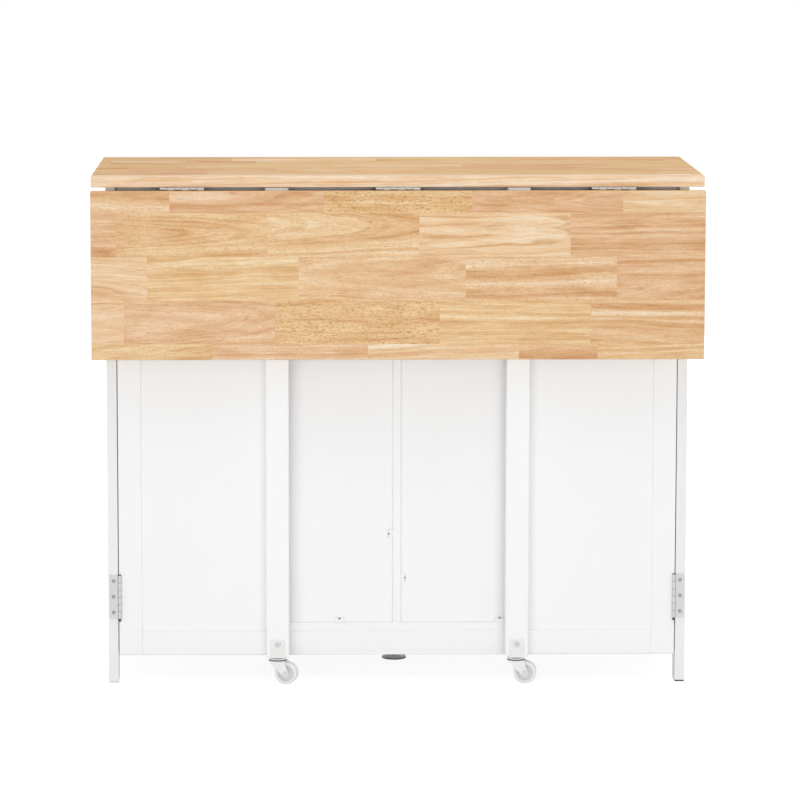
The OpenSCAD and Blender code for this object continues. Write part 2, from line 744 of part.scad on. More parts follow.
// A turned knob on the Z axis, standing on z = 0.
module knob() rotate_extrude() polygon([
    [0, 0], [7, 0], [7, 1.5], [5, 3], [4.5, knob_l * 0.45], [knob_r - 3, knob_l * 0.6],
    [knob_r, knob_l * 0.72], [knob_r, knob_l * 0.84], [knob_r - 2, knob_l * 0.95], [knob_r - 6, knob_l],
    [0, knob_l]
]);

module door_knob(side) color(steel) on_side(side)
    translate([door_x[0] + door_frame_w / 2, face_y, door_z[1] - door_knob_in]) rotate([-90, 0, 0]) knob();

module drawer_knob(side) color(steel) on_side(side)
    translate([(door_x[0] + door_x[1]) / 2, face_y, drawer_z + drawer_opening_h / 2])
        rotate([-90, 0, 0]) knob();

module drawer_front(side) color(white) on_side(side)
    board(door_x, [face_y - front_t, face_y], [drawer_z + front_gap, drawer_top_z - front_gap], 1);

module drawer_box(side) color(wood) on_side(side) {
    y = [drawer_back_y, face_y - front_t - seam];
    z = [drawer_box_z, drawer_box_z + drawer_side_h];
    inner_x = drawer_x + [drawer_side_t, -drawer_side_t];
    lap = 4;
    bottom_z = drawer_box_z + 6;
    difference() {
        union() {
            board([drawer_x[0], inner_x[0]], y, z, 0.6);
            board([inner_x[1], drawer_x[1]], y, z, 0.6);
            board(inner_x + [seam, -seam], [y[0], y[0] + drawer_side_t], z, 0.6);
        }
        for (x = [[drawer_x[0] - cut, drawer_x[0] + runner_lap + 0.3],
                [drawer_x[1] - runner_lap - 0.3, drawer_x[1] + cut]])
            block(x, y + [-cut, cut], around(groove_z, runner_h + 0.4));
        block(inner_x + [-lap - 0.2, lap + 0.2], [y[0] + drawer_side_t - lap - 0.2, y[1] + cut],
            [bottom_z - fit, bottom_z + drawer_bottom_t + fit]);
    }
    block(inner_x + [-lap, lap], [y[0] + drawer_side_t - lap, y[1] - seam],
        [bottom_z, bottom_z + drawer_bottom_t]);
}

// ---------- the pieces ----------

worktop();
rear_leg(LEFT);  // left_rear_leg
rear_leg(RIGHT);  // right_rear_leg
front_leg(LEFT);  // left_front_leg
front_leg(RIGHT);  // right_front_leg
side_panel(LEFT);  // left_side_panel
side_panel(RIGHT);  // right_side_panel
side_rails();
bottom_board();
centre_partition();
back_panel(LEFT);  // left_back_panel
back_panel(RIGHT);  // right_back_panel
back_clips();
rear_top_rail();
rear_bottom_rail();
front_rails();
centre_foot();
leg_pads();
shelves();
shelf_pins();
fixed_hinge_plates();
hinge_pins();
drawer_runners();
door_catches();
cabinet_screws();
drop_leaf();
leaf_hinge_plates();
leaf_screws();
gate_stile(LEFT);  // left_gate_stile
gate_rails(LEFT);  // left_gate_rails
gate_panel(LEFT);  // left_gate_panel
gate_post(LEFT);  // left_gate_post
gate_hinge_plates(LEFT);  // left_gate_hinge_plates
gate_screws(LEFT);  // left_gate_screws
caster_bracket(LEFT);  // left_caster_bracket
gate_stile(RIGHT);  // right_gate_stile
gate_rails(RIGHT);  // right_gate_rails
gate_panel(RIGHT);  // right_gate_panel
gate_post(RIGHT);  // right_gate_post
gate_hinge_plates(RIGHT);  // right_gate_hinge_plates
gate_screws(RIGHT);  // right_gate_screws
caster_bracket(RIGHT);  // right_caster_bracket
caster_fork(LEFT);  // left_caster_fork
caster_axle(LEFT);  // left_caster_axle
wheel(LEFT);  // left_wheel
caster_fork(RIGHT);  // right_caster_fork
caster_axle(RIGHT);  // right_caster_axle
wheel(RIGHT);  // right_wheel
door(LEFT);  // left_door
door_knob(LEFT);  // left_door_knob
door_hinge_plates(LEFT);  // left_door_hinge_plates
door(RIGHT);  // right_door
door_knob(RIGHT);  // right_door_knob
door_hinge_plates(RIGHT);  // right_door_hinge_plates
drawer_front(LEFT);  // left_drawer_front
drawer_box(LEFT);  // left_drawer_box
drawer_knob(LEFT);  // left_drawer_knob
drawer_front(RIGHT);  // right_drawer_front
drawer_box(RIGHT);  // right_drawer_box
drawer_knob(RIGHT);  // right_drawer_knob
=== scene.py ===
# %% [markdown]
# # A drop leaf kitchen island
# This notebook dresses the imported CAD model of a kitchen island: a white painted cabinet with a
# rubberwood top, a leaf that hangs on three butt hinges, and two gates on casters that carry the
# leaf when it is up. The CAD model is the frame: it says where every piece is, and the pieces made
# here take their places from it. We start by loading it.

# %% Load the frame
import math
import random

import bmesh
import bpy
from mathutils import Matrix, Vector


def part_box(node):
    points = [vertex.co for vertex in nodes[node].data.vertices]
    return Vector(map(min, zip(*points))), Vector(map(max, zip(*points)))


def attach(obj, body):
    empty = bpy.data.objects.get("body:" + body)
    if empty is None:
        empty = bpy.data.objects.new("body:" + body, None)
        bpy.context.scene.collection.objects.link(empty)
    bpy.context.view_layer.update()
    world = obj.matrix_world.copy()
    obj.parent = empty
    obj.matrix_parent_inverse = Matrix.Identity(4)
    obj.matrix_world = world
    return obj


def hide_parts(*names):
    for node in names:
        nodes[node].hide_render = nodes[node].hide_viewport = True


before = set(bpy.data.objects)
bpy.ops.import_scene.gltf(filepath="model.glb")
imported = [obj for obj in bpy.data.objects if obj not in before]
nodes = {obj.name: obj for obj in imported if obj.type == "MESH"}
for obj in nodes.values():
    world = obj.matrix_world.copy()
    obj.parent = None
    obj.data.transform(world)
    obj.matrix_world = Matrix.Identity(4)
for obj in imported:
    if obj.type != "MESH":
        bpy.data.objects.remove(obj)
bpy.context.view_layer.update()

# %% [markdown]
# The real sizes are in millimetres and Blender works in metres, so one function changes them. A
# second one turns a colour as a paint chart writes it, sRGB in hex, into the linear numbers that
# a shader works with. Two more turn a finished bmesh into mesh data and put an object in the
# scene.

# %% Units, colours and objects
def mm(*lengths):
    """Millimetres to metres: one number, or a vector of three."""
    return lengths[0] / 1000 if len(lengths) == 1 else Vector(lengths) / 1000


def linear(hex_colour):
    """An sRGB colour such as "#E4BE92" as the linear RGBA that a shader socket takes."""
    channels = [int(hex_colour[i:i + 2], 16) / 255 for i in (1, 3, 5)]
    return [c / 12.92 if c <= 0.04045 else ((c + 0.055) / 1.055) ** 2.4 for c in channels] + [1.0]


def as_mesh_data(mesh, name):
    """The bmesh as mesh data of that name. The bmesh itself is freed."""
    data = bpy.data.meshes.new(name)
    mesh.to_mesh(data)
    mesh.free()
    return data


def put_in_scene(name, data):
    """A new object of that name in the scene, with its mesh, camera or lamp."""
    made = bpy.data.objects.new(name, data)
    bpy.context.scene.collection.objects.link(made)
    return made


print("oak-pale tan in linear light", [round(c, 3) for c in linear("#E4BE92")])

# %% [markdown]
# ## The camera
# The photograph shows the back of the island from 7 m away, through a long lens, from a little
# above the worktop. The upright lines stay nearly parallel, as they do when a photographer
# shifts the lens down instead of tilting the camera, so a small shift goes with a small tilt.
# The numbers come from matching points of the photograph by least squares, with the worktop taken
# as 930 mm high and 450 mm deep.

# %% Camera
camera_tilt = 0.1243     # radians below level
camera_turn = 0.0135     # radians clockwise, seen from above

camera_data = bpy.data.cameras.new("photo_camera")
camera_data.sensor_width = 36
camera_data.lens = 168.8
camera_data.shift_x = 0.0625
camera_data.shift_y = -0.08
camera = put_in_scene("photo_camera", camera_data)
camera.location = (-0.1766, -6.9115, 1.4785)
camera.rotation_euler = (math.pi / 2 - camera_tilt, 0, -camera_turn)
bpy.context.scene.camera = camera
print("camera", [round(v, 2) for v in camera.location], "lens", camera_data.lens, "mm")

# %% [markdown]
# ## Materials
# Every material is a small tree of shader nodes. One function adds a node, sets its options and
# inputs and links what feeds it, so that each material reads as a short recipe. The steps that
# most recipes share have functions of their own.

# %% Helpers for shader nodes
def add(tree, kind, inputs=None, **options):
    """Adds a node. An input is a value, or an output socket of another node to link from."""
    made = tree.nodes.new(kind)
    for option, value in options.items():
        setattr(made, option, value)
    for name, value in (inputs or {}).items():
        if isinstance(value, bpy.types.NodeSocket):
            tree.links.new(value, made.inputs[name])
        else:
            made.inputs[name].default_value = value
    return made


def new_material(name):
    """An empty material with its output and its Principled shader joined up."""
    material = bpy.data.materials.new(name)
    material.use_nodes = True
    tree = material.node_tree
    tree.nodes.clear()
    shader = add(tree, "ShaderNodeBsdfPrincipled")
    add(tree, "ShaderNodeOutputMaterial", {"Surface": shader.outputs[0]})
    return material, tree, shader


def own_place(tree):
    """The point that is being shaded, in the axes of its piece."""
    return add(tree, "ShaderNodeTexCoord").outputs["Object"]


def between(tree, value, low, high, at_low=0.0, at_high=1.0):
    """A value that goes from at_low to at_high while another goes from low to high."""
    return add(tree, "ShaderNodeMapRange", {"Value": value, "From Min": low, "From Max": high,
                                            "To Min": at_low, "To Max": at_high}).outputs[0]


def blend(tree, factor, colour_a, colour_b):
    """Colour a where the factor is 0, colour b where it is 1, and a mix on the way."""
    return add(tree, "ShaderNodeMix", {"Factor": factor, "A": colour_a, "B": colour_b},
               data_type="RGBA").outputs["Result"]


def emboss(tree, shader, height, strength, distance):
    """Makes the light fall as if a texture stood out by up to the distance."""
    relief = add(tree, "ShaderNodeBump", {"Height": height, "Strength": strength, "Distance": distance})
    tree.links.new(relief.outputs[0], shader.inputs["Normal"])


def stops(ramp, pairs):
    """Fills a colour ramp with (position, hex colour) pairs."""
    elements = ramp.color_ramp.elements
    while len(elements) < len(pairs):
        elements.new(1)
    for element, (position, colour) in zip(elements, pairs):
        element.position = position
        element.color = linear(colour)


# %% [markdown]
# ### Rubberwood
# The top is glued up from staves of rubberwood, sawn and planed, with a thin matt oil. Each
# stave comes from another place in another log, so the grain changes at every joint. The growth
# rings are cylinders round the log's heart. If each point knows its place in its log, one rule
# gives the long streaks, the arrow shapes and the end grain alike: colour by the distance from
# the heart. The board's mesh carries that place as an attribute, in metres.
#
# Ring bands are 4 to 10 mm apart. Vessels show as fine dark dashes, 3 to 8 mm long.

# %% Rubberwood material
def rubberwood():
    material, tree, shader = new_material("oiled_rubberwood")
    place = add(tree, "ShaderNodeAttribute", attribute_name="place_in_log").outputs["Vector"]
    stave = add(tree, "ShaderNodeAttribute", attribute_name="stave").outputs["Vector"]
    lightness, vessels, pinkness = add(tree, "ShaderNodeSeparateXYZ", {"Vector": stave}).outputs

    def grain(scale, detail, rough=0.5):
        """Noise on the place in the log, scaled by features per metre along and across it."""
        spot = add(tree, "ShaderNodeVectorMath", {0: place, 1: scale}, operation="MULTIPLY")
        return add(tree, "ShaderNodeTexNoise", {"Vector": spot.outputs[0], "Scale": 1.0,
                                                "Detail": detail, "Roughness": rough}).outputs["Fac"]

    # The heart runs along X; rings wander by a few millimetres over a stave's length.
    across = add(tree, "ShaderNodeVectorMath", {0: place, 1: (0, 1, 1)}, operation="MULTIPLY")
    distance = add(tree, "ShaderNodeVectorMath", {0: across.outputs[0]}, operation="LENGTH")
    wander = grain((5, 24, 24), 2.0)
    bent = add(tree, "ShaderNodeMath", {0: wander, 1: mm(10), 2: distance.outputs["Value"]},
               operation="MULTIPLY_ADD")
    rings = add(tree, "ShaderNodeTexNoise", {"W": bent.outputs[0], "Scale": 105.0, "Detail": 5.0,
                                             "Roughness": 0.66}, noise_dimensions="1D")

    # A ring fades in and out along the stave, so no line runs on for long. Pale staves sit higher
    # on the ramp of tones than dark ones.
    cloud = grain((10, 80, 80), 4.0, 0.6)
    figure = add(tree, "ShaderNodeMix", {"Factor": 0.4, "A": rings.outputs["Fac"], "B": cloud})
    lift = between(tree, lightness, 0, 1, -0.055, 0.175)
    moved = add(tree, "ShaderNodeMath", {0: figure.outputs["Result"], 1: lift})
    bands = add(tree, "ShaderNodeValToRGB", {"Fac": moved.outputs[0]})
    stops(bands, [(0.32, "#CE9A6C"), (0.41, "#DDB083"), (0.49, "#E7C198"), (0.56, "#EECEA6"),
                  (0.63, "#F3DABA"), (0.72, "#F9E8D2")])

    # Latewood: thin red-brown lines that follow the rings and come and go with the cloud.
    late = add(tree, "ShaderNodeTexNoise", {"W": bent.outputs[0], "Scale": 520.0, "Detail": 2.0},
               noise_dimensions="1D")
    line = add(tree, "ShaderNodeMath", {0: between(tree, late.outputs["Fac"], 0.60, 0.70, 0.0, 0.5),
                                        1: between(tree, cloud, 0.58, 0.44)}, operation="MULTIPLY")
    lined = blend(tree, line.outputs[0], bands.outputs["Color"], linear("#CC935F"))

    # Fibres: threads 2 mm wide and a few centimetres long.
    fibre = grain((36, 560, 560), 4.0, 0.7)
    tinted = add(tree, "ShaderNodeVectorMath", {0: lined, 1: between(tree, fibre, 0.3, 0.7, 0.88, 1.1)},
                 operation="MULTIPLY")

    # Vessels: dark dashes, stronger in the staves that show many.
    dash = between(tree, grain((170, 760, 760), 2.0), 0.54, 0.66)
    dashes = add(tree, "ShaderNodeMath", {0: dash, 1: vessels}, operation="MULTIPLY")
    pored = blend(tree, dashes.outputs[0], tinted.outputs[0], linear("#C48F56"))

    # One stave is more golden, the next one more pink.
    warm = blend(tree, pinkness, linear("#F9F8ED"), linear("#F9F5FA"))
    colour = add(tree, "ShaderNodeVectorMath", {0: pored, 1: warm}, operation="MULTIPLY")
    tree.links.new(colour.outputs[0], shader.inputs["Base Color"])
    emboss(tree, shader, fibre, strength=0.12, distance=mm(0.2))
    shader.inputs["Roughness"].default_value = 0.75
    shader.inputs["Specular IOR Level"].default_value = 0.0
    return material


wood = rubberwood()
print(wood.name, len(wood.node_tree.nodes), "shader nodes")

# %% [markdown]
# ### White paint
# The cabinet is board and solid wood under a sprayed satin lacquer. Sprayed lacquer levels out
# to a faint orange peel, bumps 2 mm apart and a few microns high: nothing in the colour, a
# slight softness in the reflections. The legs are a shade greyer than the boards.

# %% White lacquer
def lacquer(name, colour):
    material, tree, shader = new_material(name)
    spot = own_place(tree)
    peel = add(tree, "ShaderNodeTexNoise", {"Vector": spot, "Scale": 500.0, "Detail": 1.0})
    cloud = add(tree, "ShaderNodeTexNoise", {"Vector": spot, "Scale": 9.0, "Detail": 2.0})
    sheen = between(tree, cloud.outputs["Fac"], 0.0, 1.0, 0.36, 0.46)
    emboss(tree, shader, peel.outputs["Fac"], strength=0.1, distance=mm(0.1))
    tree.links.new(sheen, shader.inputs["Roughness"])
    shader.inputs["Base Color"].default_value = linear(colour)
    shader.inputs["IOR"].default_value = 1.5
    return material


white_lacquer = lacquer("sprayed_white_lacquer", "#F4F4F4")
leg_lacquer = lacquer("sprayed_white_leg_lacquer", "#ECECEC")
print("boards", white_lacquer.name, "and legs", leg_lacquer.name)

# %% [markdown]
# ### Metals and plastics
# The hinges and screws are steel, zinc plated and bright: a metal with a slightly uneven
# roughness. Shade is painted into the corners, darker where the surroundings are hidden, so the gaps
# between knuckles and the cross of each screw draw themselves as dark lines. The pins are plain
# steel, oiled, darker and rougher than the plate.

# %% Plated and oiled steel
def metal(name, colour, smooth, rough):
    """Steel whose roughness wanders from smooth to rough, and whose corners get painted shade."""
    material, tree, shader = new_material(name)
    cloud = add(tree, "ShaderNodeTexNoise", {"Vector": own_place(tree), "Scale": 160.0, "Detail": 3.0})
    graded = between(tree, cloud.outputs["Fac"], 0.0, 1.0, smooth, rough)
    tree.links.new(graded, shader.inputs["Roughness"])
    # Painted shade: ambient occlusion within 2.5 mm mixes the colour towards #343436 in corners and gaps.
    corner = add(tree, "ShaderNodeAmbientOcclusion", {"Distance": mm(2.5)}, samples=8)
    unshaded = between(tree, corner.outputs["AO"], 0.25, 0.92)
    shaded_colour = blend(tree, unshaded, linear("#343436"), linear(colour))
    tree.links.new(shaded_colour, shader.inputs["Base Color"])
    shader.inputs["Metallic"].default_value = 1.0
    return material


zinc = metal("bright_zinc_plated_steel", "#CBCBCB", 0.16, 0.28)
pin_steel = metal("oiled_pin_steel", "#5A5A5C", 0.32, 0.44)
print("plates", zinc.name, "and pins", pin_steel.name)

# %% [markdown]
# The bracket and fork of each caster are steel sheet under white powder coat, which has a finer,
# deeper peel than lacquer. Wheels, feet and clips are nylon. One function makes all of these: a
# colour, the size of the grain in millimetres and a roughness.

# %% Powder coat and nylon
def coated(name, colour, grain_mm, roughness):
    """A skin with a fine moulded or powdered grain. Returns what new_material returns."""
    material, tree, shader = new_material(name)
    scale = 1 / mm(grain_mm)
    grain = add(tree, "ShaderNodeTexNoise", {"Vector": own_place(tree), "Scale": scale, "Detail": 1.0})
    emboss(tree, shader, grain.outputs["Fac"], strength=0.15, distance=mm(0.1))
    shader.inputs["Base Color"].default_value = linear(colour)
    shader.inputs["Roughness"].default_value = roughness
    shader.inputs["IOR"].default_value = 1.5
    return material, tree, shader


powder_coat = coated("white_powder_coated_steel", "#EFEFEE", 1.2, 0.4)[0]
# The round heads' coat is greyer than the plates' coat: painted shade round their edges and recess.
screw_coat = coated("painted_screw", "#D6D6D5", 0.6, 0.35)[0]
white_nylon = coated("white_nylon", "#F2F2F0", 0.8, 0.45)[0]
print("coats", powder_coat.name, "and", screw_coat.name, "with clips of", white_nylon.name)

# %% [markdown]
# Four materials change over their piece. Under its bracket a caster's race is bare zinc, with
# painted shade as dark bands at its top and bottom, so that finish goes by the height above the
# floor. A wheel has a pale tyre round a greyer disc, so its colour goes by the distance from its
# middle. One of the four leg pads is white, and the foot's upward faces are painted a lighter
# grey, as painted light from above.

# %% Race, wheels, pads and foot
race_low = mm(43.3)      # the bare race lies between these two heights
race_high = mm(50.3)
coat_low = mm(50.4)      # from this height up the bracket is coated
disc_radius = mm(16.8)   # a wheel's grey disc ends here
tyre_radius = mm(17.6)   # and from here on it is tyre
left_rear_sum = -0.6     # x + y, in metres, is under this at the left rear pad and over it elsewhere


def race_under(bracket):
    """Powder coat on a caster's bracket, and bare steel on the race below it, with painted shade as dark
    bands at its top and bottom.
    """
    material, tree, coat = coated(bracket + "_coat", "#E9E9E8", 1.2, 0.4)
    bare = add(tree, "ShaderNodeBsdfPrincipled", {"Metallic": 1.0, "Roughness": 0.32})
    height = add(tree, "ShaderNodeSeparateXYZ", {"Vector": own_place(tree)}).outputs["Z"]
    steel = add(tree, "ShaderNodeValToRGB", {"Fac": between(tree, height, race_low, race_high)})
    # The dark stops at both ends of the ramp are painted shade in the gaps above and below the race.
    stops(steel, [(0.22, "#303032"), (0.30, "#E2E2E2"), (0.52, "#E2E2E2"), (0.60, "#303032")])
    tree.links.new(steel.outputs["Color"], bare.inputs["Base Color"])
    is_coated = add(tree, "ShaderNodeMath", {0: height, 1: coat_low}, operation="GREATER_THAN")
    both = add(tree, "ShaderNodeMixShader", {0: is_coated.outputs[0], 1: bare.outputs[0],
                                             2: coat.outputs[0]})
    tree.links.new(both.outputs[0], tree.nodes["Material Output"].inputs["Surface"])
    return material


def tyre_and_disc(wheel):
    """Nylon that is greyer on a wheel's disc than on its tyre."""
    material, tree, shader = coated(wheel + "_nylon", "#DADAD8", 0.8, 0.45)
    low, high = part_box(wheel)
    arm = add(tree, "ShaderNodeVectorMath", {0: own_place(tree), 1: (low + high) / 2},
              operation="SUBTRACT")
    reach = add(tree, "ShaderNodeVectorMath", {0: arm.outputs[0]}, operation="LENGTH")
    tyre = between(tree, reach.outputs["Value"], disc_radius, tyre_radius)
    colour = blend(tree, tyre, linear("#D8D8D7"), linear("#ECECEB"))
    tree.links.new(colour, shader.inputs["Base Color"])
    return material


def pad_under():
    """Black nylon, but white under the left rear leg: there the photograph shows no dark line."""
    material, tree, shader = coated("pad_nylon", "#3A3A3A", 0.8, 0.5)
    total = add(tree, "ShaderNodeVectorMath", {0: own_place(tree), 1: (1, 1, 0)},
                operation="DOT_PRODUCT")
    left_rear = add(tree, "ShaderNodeMath", {0: total.outputs["Value"], 1: left_rear_sum},
                    operation="LESS_THAN")
    colour = blend(tree, left_rear.outputs[0], linear("#3A3A3A"), linear("#E4E4E2"))
    tree.links.new(colour, shader.inputs["Base Color"])
    return material


def foot_with_painted_top_light():
    """Black nylon whose upward faces are painted a lighter grey, as painted light from above."""
    material, tree, shader = coated("dark_nylon_with_painted_top_light", "#3A3A3A", 0.8, 0.5)
    facing = add(tree, "ShaderNodeNewGeometry").outputs["Normal"]
    upward = add(tree, "ShaderNodeSeparateXYZ", {"Vector": facing}).outputs["Z"]
    # Painted light: faces that point up are painted #D8D8D8 grey, as if lit from above.
    graded = between(tree, upward, 0.3, 0.95)
    tree.links.new(blend(tree, graded, linear("#3C3C3C"), linear("#D8D8D8")), shader.inputs["Base Color"])
    return material


foot_nylon = foot_with_painted_top_light()
print("foot", foot_nylon.name)

# %% [markdown]
# The drawer boxes are pale plywood under clear lacquer. Its grain runs from front to back in
# threads a millimetre wide, on bands a few centimetres wide.

# %% Plywood
def plywood():
    material, tree, shader = coated("clear_lacquered_plywood", "#E2CBA6", 1.5, 0.5)
    spot = own_place(tree)
    long = add(tree, "ShaderNodeVectorMath", {0: spot, 1: (600, 12, 600)}, operation="MULTIPLY")
    thread = add(tree, "ShaderNodeTexNoise", {"Vector": long.outputs[0], "Scale": 1.0, "Detail": 3.0})
    wide = add(tree, "ShaderNodeVectorMath", {0: spot, 1: (40, 3, 40)}, operation="MULTIPLY")
    band = add(tree, "ShaderNodeTexNoise", {"Vector": wide.outputs[0], "Scale": 1.0, "Detail": 4.0})
    grain = add(tree, "ShaderNodeMix", {"Factor": 0.45, "A": thread.outputs["Fac"],
                                        "B": band.outputs["Fac"]})
    tone = add(tree, "ShaderNodeValToRGB", {"Fac": grain.outputs["Result"]})
    stops(tone, [(0.38, "#CDAE82"), (0.48, "#DFC69E"), (0.56, "#E9D4B0"), (0.66, "#F0DEBF")])
    tree.links.new(tone.outputs["Color"], shader.inputs["Base Color"])
    return material


drawer_wood = plywood()
print("materials", [m.name for m in bpy.data.materials])

# %% [markdown]
# Most CAD nodes already have the real shape, so they stay and only get their finish. The names
# of the nodes say which finish each one has.

# %% Finishes of the CAD nodes
finish_by_word = [
    (("hinge_pins",), pin_steel),
    (("hinge", "screws", "axle", "pins", "runners", "knob"), zinc),
    (("left_caster_bracket",), race_under("left_caster_bracket")),
    (("right_caster_bracket",), race_under("right_caster_bracket")),
    (("fork",), powder_coat),
    (("left_wheel",), tyre_and_disc("left_wheel")),
    (("right_wheel",), tyre_and_disc("right_wheel")),
    (("foot",), foot_nylon),
    (("pads",), pad_under()),
    (("_leg",), leg_lacquer),
    (("clips", "catches"), white_nylon),
    (("drawer_box",), drawer_wood),
    (("",), white_lacquer),
]


def finish_of(name):
    """The first finish that has a word of the node's name. The last one fits any name."""
    return next(finish for words, finish in finish_by_word if any(word in name for word in words))


for name, piece in nodes.items():
    for slot in piece.material_slots:
        slot.material = finish_of(name)
print(len(nodes), "nodes have their finish")

# %% [markdown]
# ## Worktop and leaf
# Both are one board glued from staves about 79 mm wide and 271 mm long. Each row starts with a
# shorter stave, so that no two joints lie in line. Here a board is one closed box, cut along
# the rows and then, within each row, at the joints. Its outer edges are rounded by 1.2 mm, as a
# sander leaves them. The length and the thickness come from the frame, and the rows add up to the
# width.

# %% The rows of the two boards
top_low, top_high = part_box("worktop")
leaf_low, leaf_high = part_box("drop_leaf")
board_length = round((top_high.x - top_low.x) * 1000)
board_thickness = round((top_high.z - top_low.z) * 1000)
stave_length = 271
shortest_stave = 1
eased_edge = 1.2

# each row: width, length of the first stave, lengths that differ from the usual one, and a letter
# for the look of each stave: p pale, m middling, g golden, r reddish, s speckled, a arrows,
# w palest
leaf_rows = [
    (38.5, 141, {1: 276, 2: 264}, "mrsrp"),
    (79, 45.5, {}, "raapr"),
    (79, 100.5, {2: 299}, "pgmmr"),
    (78, 58.5, {2: 295}, "prsgm"),
    (28.5, 216, {1: 280, 3: 141}, "arpmg"),
]
top_rows = [
    (34, 123, {2: 407}, "wwwww"),
    (79, 206, {}, "rmgam"),
    (79, 61, {}, "gramr"),
    (79, 164, {2: 240}, "mgprg"),
    (79, 20, {}, "argmar"),
    (79, 247, {}, "mpgrm"),
    (21, 110, {}, "grmga"),
]


def stave_cells(rows):
    """The staves of a board: (start, end) along it, (start, end) across it and the look's letter."""
    cells = []
    edge = 0.0
    for width, first, odd, looks in rows:
        start = 0.0
        end = float(first)
        count = 0
        while start < board_length - shortest_stave:
            cells.append(((start, min(end, board_length)), (edge, edge + width), looks[count]))
            count += 1
            start = end
            end += odd.get(count, stave_length)
        edge += width
    return cells


for board, rows in (("leaf", leaf_rows), ("worktop", top_rows)):
    print(board, board_length, "mm long,", len(stave_cells(rows)), "staves")

# %% [markdown]
# Every stave gets a log of its own: how far away the heart is, how much the stave leans against
# it, and three traits for the shader, which are its lightness, its share of vessels and its
# pinkness. The look's letter sets their middle, and a seeded random source moves them a little,
# so that the wood is the same in each render. Where the heart is near and the stave dives
# through the rings, they come out as arrows.

# %% Logs for the staves
traits_of = {"w": (0.86, 0.1, 0.5), "p": (0.5, 0.2, 0.5), "m": (0.3, 0.45, 0.5), "g": (0.33, 0.3, 0.1),
             "r": (0.14, 0.35, 0.8), "s": (0.27, 1.0, 0.05), "a": (0.3, 0.4, 0.2)}
trait_spread = 0.08
log_reach = 3                # metres either way along the log
near_depth = (0.008, 0.03)   # metres from a stave to a near heart, below it or above it
far_depth = (0.04, 0.12)
near_aside = 0.02            # metres that a near heart may lie to either side
far_aside = 0.08
lean_limit = 1.2             # degrees either way
near_dive = (3, 6)           # degrees, up or down
far_dive = 2                 # degrees either way


def draw_log(luck, look):
    """The stave's heart, the turn from board to log coordinates, and its traits."""
    near = look == "a"
    depth = luck.uniform(*near_depth) if near else luck.uniform(*far_depth)
    aside = near_aside if near else far_aside
    heart = Vector((luck.uniform(-log_reach, log_reach), luck.uniform(-aside, aside),
                    luck.choice((-1, 1)) * depth))
    lean = luck.uniform(-lean_limit, lean_limit)
    if near:
        dive = luck.choice((-1, 1)) * luck.uniform(*near_dive)
    else:
        dive = luck.uniform(-far_dive, far_dive)
    turn = Matrix.Rotation(math.radians(lean), 3, "Z") @ Matrix.Rotation(math.radians(dive), 3, "Y")
    traits = [min(1.0, max(0.0, middle + luck.uniform(-trait_spread, trait_spread)))
              for middle in traits_of[look]]
    return heart, turn, traits


print("looks of a stave", sorted(traits_of))

# %% [markdown]
# A board is made in three steps: sawn as a box with the staves' joints in it, given the place in
# the log at each corner of each face, and turned to where it belongs in the island.

# %% A board of staves
sharp_angle = 1.0            # radians between the faces of an edge that gets eased
along_an_axis = 0.999        # the normal of a flat face, and more than that of an eased one


def sawn_board(cells, width):
    """A box in its own axes, cut where its staves meet, with its outer edges eased."""
    mesh = bmesh.new()
    bmesh.ops.create_cube(mesh, size=1.0,
                          matrix=Matrix.Translation(mm(board_length / 2, width / 2, 0))
                          @ Matrix.Diagonal((*mm(board_length, width, board_thickness), 1)))
    for edge in sorted({cell[1][0] for cell in cells} - {0.0}):
        bmesh.ops.bisect_plane(mesh, geom=mesh.verts[:] + mesh.edges[:] + mesh.faces[:],
                               plane_co=mm(0, edge, 0), plane_no=(0, 1, 0))
    for (start, _), (low, high), _ in cells:
        if start > 0:
            faces = [f for f in mesh.faces if low < f.calc_center_median().y * 1000 < high]
            edges = list(dict.fromkeys(e for f in faces for e in f.edges))
            bmesh.ops.bisect_plane(mesh, geom=faces + edges, plane_co=mm(start, 0, 0),
                                   plane_no=(1, 0, 0))
    sharp = [e for e in mesh.edges if len(e.link_faces) == 2 and e.calc_face_angle() > sharp_angle]
    bmesh.ops.bevel(mesh, geom=sharp, offset=mm(eased_edge), segments=3, profile=0.5, affect="EDGES")
    bmesh.ops.recalc_face_normals(mesh, faces=mesh.faces[:])
    return mesh


def write_grain(mesh, cells, seed):
    """Gives each corner of each face its place in its stave's log and the stave's traits."""
    place = mesh.loops.layers.float_vector.new("place_in_log")
    trait = mesh.loops.layers.float_vector.new("stave")
    luck = random.Random(seed)
    logs = [draw_log(luck, look) for _, _, look in cells]
    for face in mesh.faces:
        centre = face.calc_center_median() * 1000
        index = next((i for i, ((a, b), (c, d), _) in enumerate(cells)
                      if a <= centre.x <= b and c <= centre.y <= d), len(cells) - 1)
        heart, turn, traits = logs[index]
        middle = mm(sum(cells[index][0]) / 2, sum(cells[index][1]) / 2, 0)
        for loop in face.loops:
            loop[place] = turn @ (loop.vert.co - middle) + heart
            loop[trait] = traits
        face.smooth = abs(max(face.normal, key=abs)) < along_an_axis


def staved_board(name, rows, seed, to_world):
    """A glued board. Its own axes are X along the grain, Y across the rows and Z its thickness."""
    cells = stave_cells(rows)
    mesh = sawn_board(cells, sum(row[0] for row in rows))
    write_grain(mesh, cells, seed)
    mesh.transform(to_world)
    bmesh.ops.recalc_face_normals(mesh, faces=mesh.faces[:])
    data = as_mesh_data(mesh, name)
    data.materials.append(wood)
    print(name, len(data.polygons), "faces,", len(cells), "staves")
    return put_in_scene(name, data)


# %% [markdown]
# Each board takes the place of its CAD node, from that node's box. The leaf hangs down, so its
# board is turned about its length.

